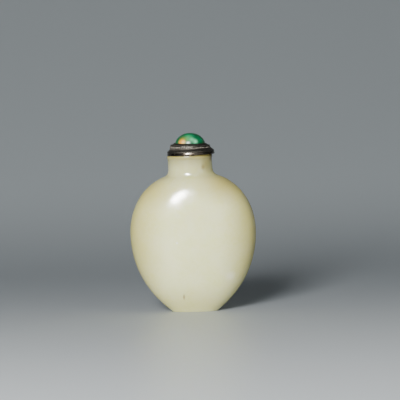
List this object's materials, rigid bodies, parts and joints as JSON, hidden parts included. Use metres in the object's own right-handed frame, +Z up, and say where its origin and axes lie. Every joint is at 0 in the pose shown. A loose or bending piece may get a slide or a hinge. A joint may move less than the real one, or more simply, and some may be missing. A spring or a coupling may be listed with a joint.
{
  "type": "snuff bottle",
  "caption": "Small flattened ovoid vessel of pale nephrite, hollowed through a short neck, with a lift-off stopper: a silver mount over a cork plug, set with a domed green stone.",
  "frame": {"origin": "on the ground, under the middle of the oval foot", "axes": "+Z up through the neck, -Y out of the broad front face, +X to the right of someone who faces the front"},
  "size_m": [0.0452, 0.0278, 0.0642],
  "materials": {
    "nephrite": "pale celadon jade, ground and waxed to a soft polish",
    "oxidised_silver": "silver darkened by oxidation, worn bright on the edge and on the flutes",
    "green_stone": "emerald green with an orange-tan patch, high polish",
    "cork": "natural cork"
  },
  "bodies": {
    "root": {"bottle": "nephrite", "stopper_mount": "oxidised_silver", "cabochon": "green_stone", "cork": "cork"}
  },
  "joints": []
}
